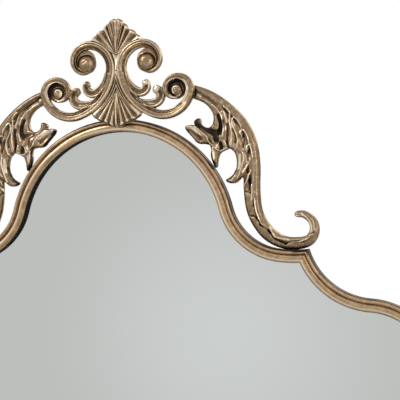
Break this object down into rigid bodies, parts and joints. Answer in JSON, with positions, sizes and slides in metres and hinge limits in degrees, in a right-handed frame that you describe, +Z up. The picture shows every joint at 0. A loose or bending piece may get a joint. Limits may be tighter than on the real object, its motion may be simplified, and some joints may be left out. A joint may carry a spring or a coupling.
{
  "type": "wall mirror",
  "caption": "Wide arched wall mirror in a slim antiqued metal moulding with a cast scroll and palmette crest and acanthus leaves, turn buttons and hanging rings behind.",
  "frame": {"origin": "on the wall plane, midway between the two hook points of the hanging rings", "axes": "+X to the viewer's right, +Z up, the mirror faces -Y and the wall is the plane Y = 0"},
  "size_m": [1.1964, 0.0514, 1.1821],
  "materials": {
    "moulding": "antiqued old gold with brown patina in the hollows, satin",
    "casting": "antiqued old gold, rubbed bright on the ridges and dark in the hollows",
    "mirror_glass": "silvered, polished",
    "seal": "matte",
    "board": "brown hardboard, smooth",
    "steel_plate": "zinc plated",
    "turn_button": "zinc plated",
    "hanging_ring": "zinc plated wire",
    "screw": "plain",
    "bumper": "matte",
    "bracket": "dark brown paint, satin"
  },
  "bodies": {
    "frame": {"left_arch_rail": "moulding", "right_arch_rail": "moulding", "left_wing_rail": "moulding", "right_wing_rail": "moulding", "left_stile": "moulding", "right_stile": "moulding", "bottom_rail": "moulding", "mirror_glass": "mirror_glass", "glass_seal": "seal", "backing_board": "board", "top_joint_plate": "steel_plate", "left_notch_plate": "steel_plate", "right_notch_plate": "steel_plate", "left_side_plate": "steel_plate", "right_side_plate": "steel_plate", "left_corner_plate": "steel_plate", "right_corner_plate": "steel_plate", "left_hanger_strap": "steel_plate", "right_hanger_strap": "steel_plate", "joint_plate_screws": "screw", "turn_button_screws": "screw", "hanger_screws": "screw", "bracket_screws": "screw", "crest_screws": "screw", "leaf_screws": "screw", "wall_bumpers": "bumper", "crest_bracket": "bracket", "top_palmette": "casting", "base_palmette": "casting", "left_scroll": "casting", "right_scroll": "casting", "left_leaf": "casting", "right_leaf": "casting"},
    "left_arch_button": {"left_arch_button": "turn_button"},
    "left_bottom_button": {"left_bottom_button": "turn_button"},
    "left_hanger_ring": {"left_hanger_ring": "hanging_ring"},
    "left_side_button": {"left_side_button": "turn_button"},
    "left_wing_button": {"left_wing_button": "turn_button"},
    "right_arch_button": {"right_arch_button": "turn_button"},
    "right_bottom_button": {"right_bottom_button": "turn_button"},
    "right_hanger_ring": {"right_hanger_ring": "hanging_ring"},
    "right_side_button": {"right_side_button": "turn_button"},
    "right_wing_button": {"right_wing_button": "turn_button"}
  },
  "joints": [
    {"name": "left_arch_turn", "type": "hinge", "parent": "frame", "child": "left_arch_button", "pos_m": [-0.11911, -0.0075, 0.48044], "axis": [0, 1, 0], "continuous": true},
    {"name": "right_arch_turn", "type": "hinge", "parent": "frame", "child": "right_arch_button", "pos_m": [0.11911, -0.0075, 0.48044], "axis": [0, 1, 0], "continuous": true},
    {"name": "left_wing_turn", "type": "hinge", "parent": "frame", "child": "left_wing_button", "pos_m": [-0.40323, -0.0075, 0.20243], "axis": [0, 1, 0], "continuous": true},
    {"name": "right_wing_turn", "type": "hinge", "parent": "frame", "child": "right_wing_button", "pos_m": [0.40323, -0.0075, 0.20243], "axis": [0, 1, 0], "continuous": true},
    {"name": "left_side_turn", "type": "hinge", "parent": "frame", "child": "left_side_button", "pos_m": [-0.59023, -0.0075, -0.23536], "axis": [0, 1, 0], "continuous": true},
    {"name": "right_side_turn", "type": "hinge", "parent": "frame", "child": "right_side_button", "pos_m": [0.59023, -0.0075, -0.23536], "axis": [0, 1, 0], "continuous": true},
    {"name": "left_bottom_turn", "type": "hinge", "parent": "frame", "child": "left_bottom_button", "pos_m": [-0.28712, -0.0075, -0.458], "axis": [0, 1, 0], "continuous": true},
    {"name": "right_bottom_turn", "type": "hinge", "parent": "frame", "child": "right_bottom_button", "pos_m": [0.28712, -0.0075, -0.458], "axis": [0, 1, 0], "continuous": true},
    {"name": "left_ring_swing", "type": "hinge", "parent": "frame", "child": "left_hanger_ring", "pos_m": [-0.58773, -0.0048, -0.013], "axis": [1, 0, 0], "range_deg": [0, 175]},
    {"name": "right_ring_swing", "type": "hinge", "parent": "frame", "child": "right_hanger_ring", "pos_m": [0.58773, -0.0048, -0.013], "axis": [1, 0, 0], "range_deg": [0, 175]}
  ]
}
